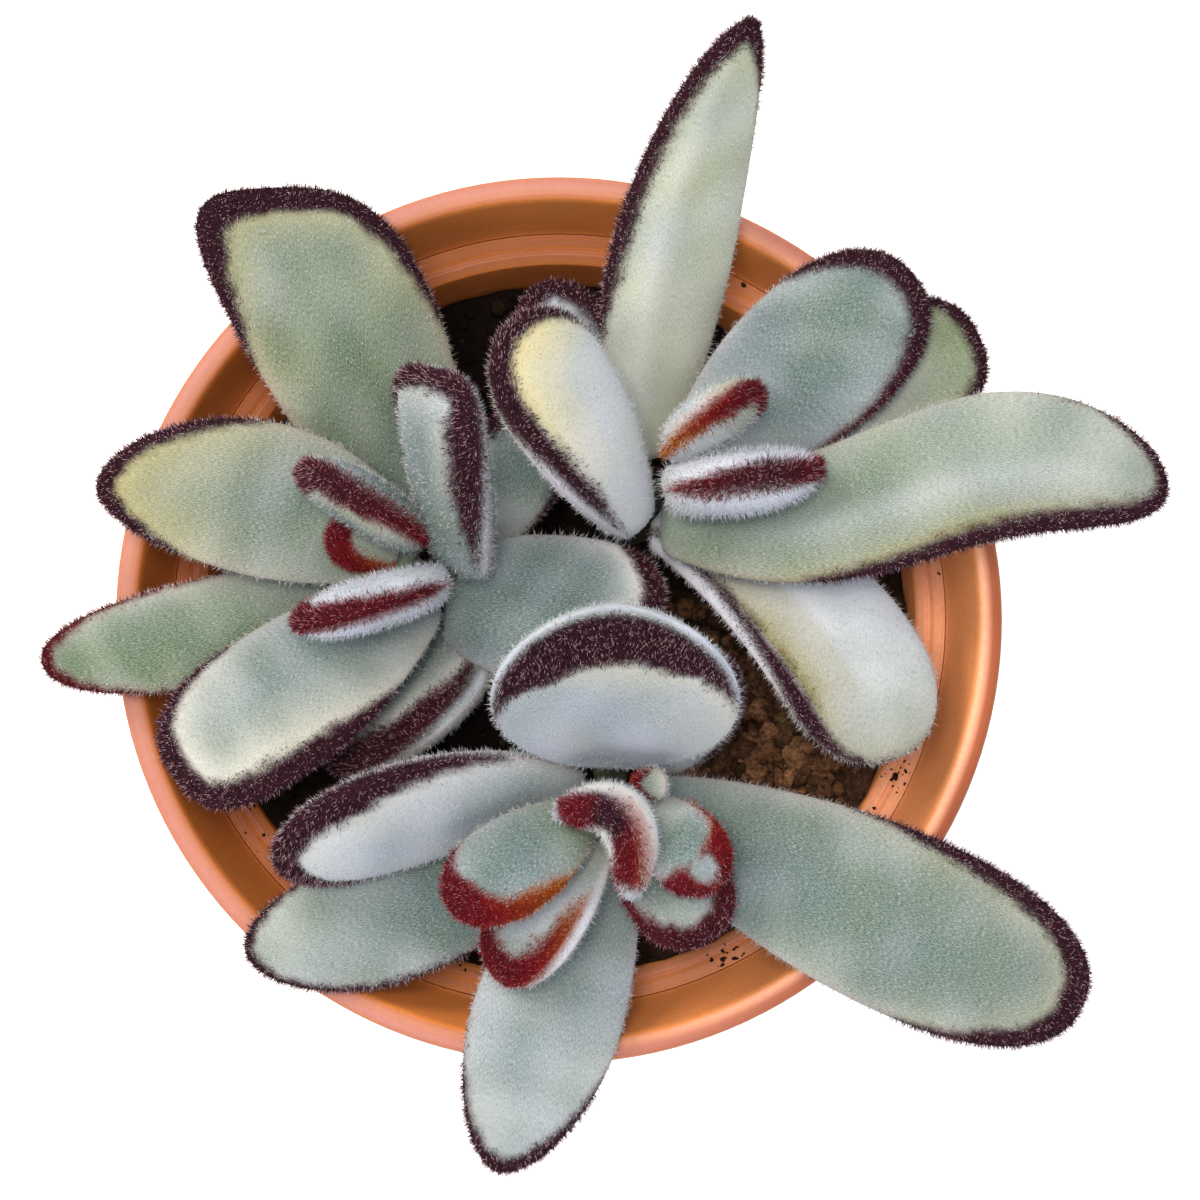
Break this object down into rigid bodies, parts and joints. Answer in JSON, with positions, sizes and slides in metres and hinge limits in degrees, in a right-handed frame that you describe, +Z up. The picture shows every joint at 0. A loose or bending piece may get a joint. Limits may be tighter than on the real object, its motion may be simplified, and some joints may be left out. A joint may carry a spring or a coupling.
{
  "type": "potted panda plant",
  "caption": "Potted panda plant with rosettes of thick, felted grey-green leaves edged in dark fur, in a terracotta-coloured pot with a wide collar rim, filled with potting mix.",
  "frame": {"origin": "middle of the pot's flat underside, where it stands on a table", "axes": "+Z up along the pot's axis; +X towards the tip of the longest leaf of the east rosette; +Y towards the long leaf that reaches furthest over the rim, away from the south rosette"},
  "size_m": [0.136, 0.1395, 0.1311],
  "materials": {
    "pot_plastic": "satin terracotta-coloured plastic with fine rings from turning",
    "potting_mix": "rough, damp, dark crumbs of peat and bark",
    "stem_felt": "matt, with short pale felt",
    "leaf_felt": "matt velvet of white hairs over grey-green flesh, with dark brown fur along the margins"
  },
  "bodies": {
    "root": {"pot": "pot_plastic", "soil": "potting_mix", "stem_west": "stem_felt", "stem_east": "stem_felt", "stem_south": "stem_felt", "leaf_west_01": "leaf_felt", "leaf_west_02": "leaf_felt", "leaf_west_03": "leaf_felt", "leaf_west_04": "leaf_felt", "leaf_west_05": "leaf_felt", "leaf_west_06": "leaf_felt", "leaf_west_07": "leaf_felt", "leaf_west_08": "leaf_felt", "leaf_west_09": "leaf_felt", "leaf_west_10": "leaf_felt", "leaf_west_11": "leaf_felt", "leaf_east_01": "leaf_felt", "leaf_east_02": "leaf_felt", "leaf_east_03": "leaf_felt", "leaf_east_04": "leaf_felt", "leaf_east_05": "leaf_felt", "leaf_east_06": "leaf_felt", "leaf_east_07": "leaf_felt", "leaf_east_08": "leaf_felt", "leaf_east_09": "leaf_felt", "leaf_south_01": "leaf_felt", "leaf_south_02": "leaf_felt", "leaf_south_03": "leaf_felt", "leaf_south_04": "leaf_felt", "leaf_south_05": "leaf_felt", "leaf_south_06": "leaf_felt", "leaf_south_07": "leaf_felt", "leaf_south_08": "leaf_felt", "leaf_south_09": "leaf_felt", "leaf_south_10": "leaf_felt", "leaf_south_11": "leaf_felt", "leaf_south_12": "leaf_felt"}
  },
  "joints": []
}
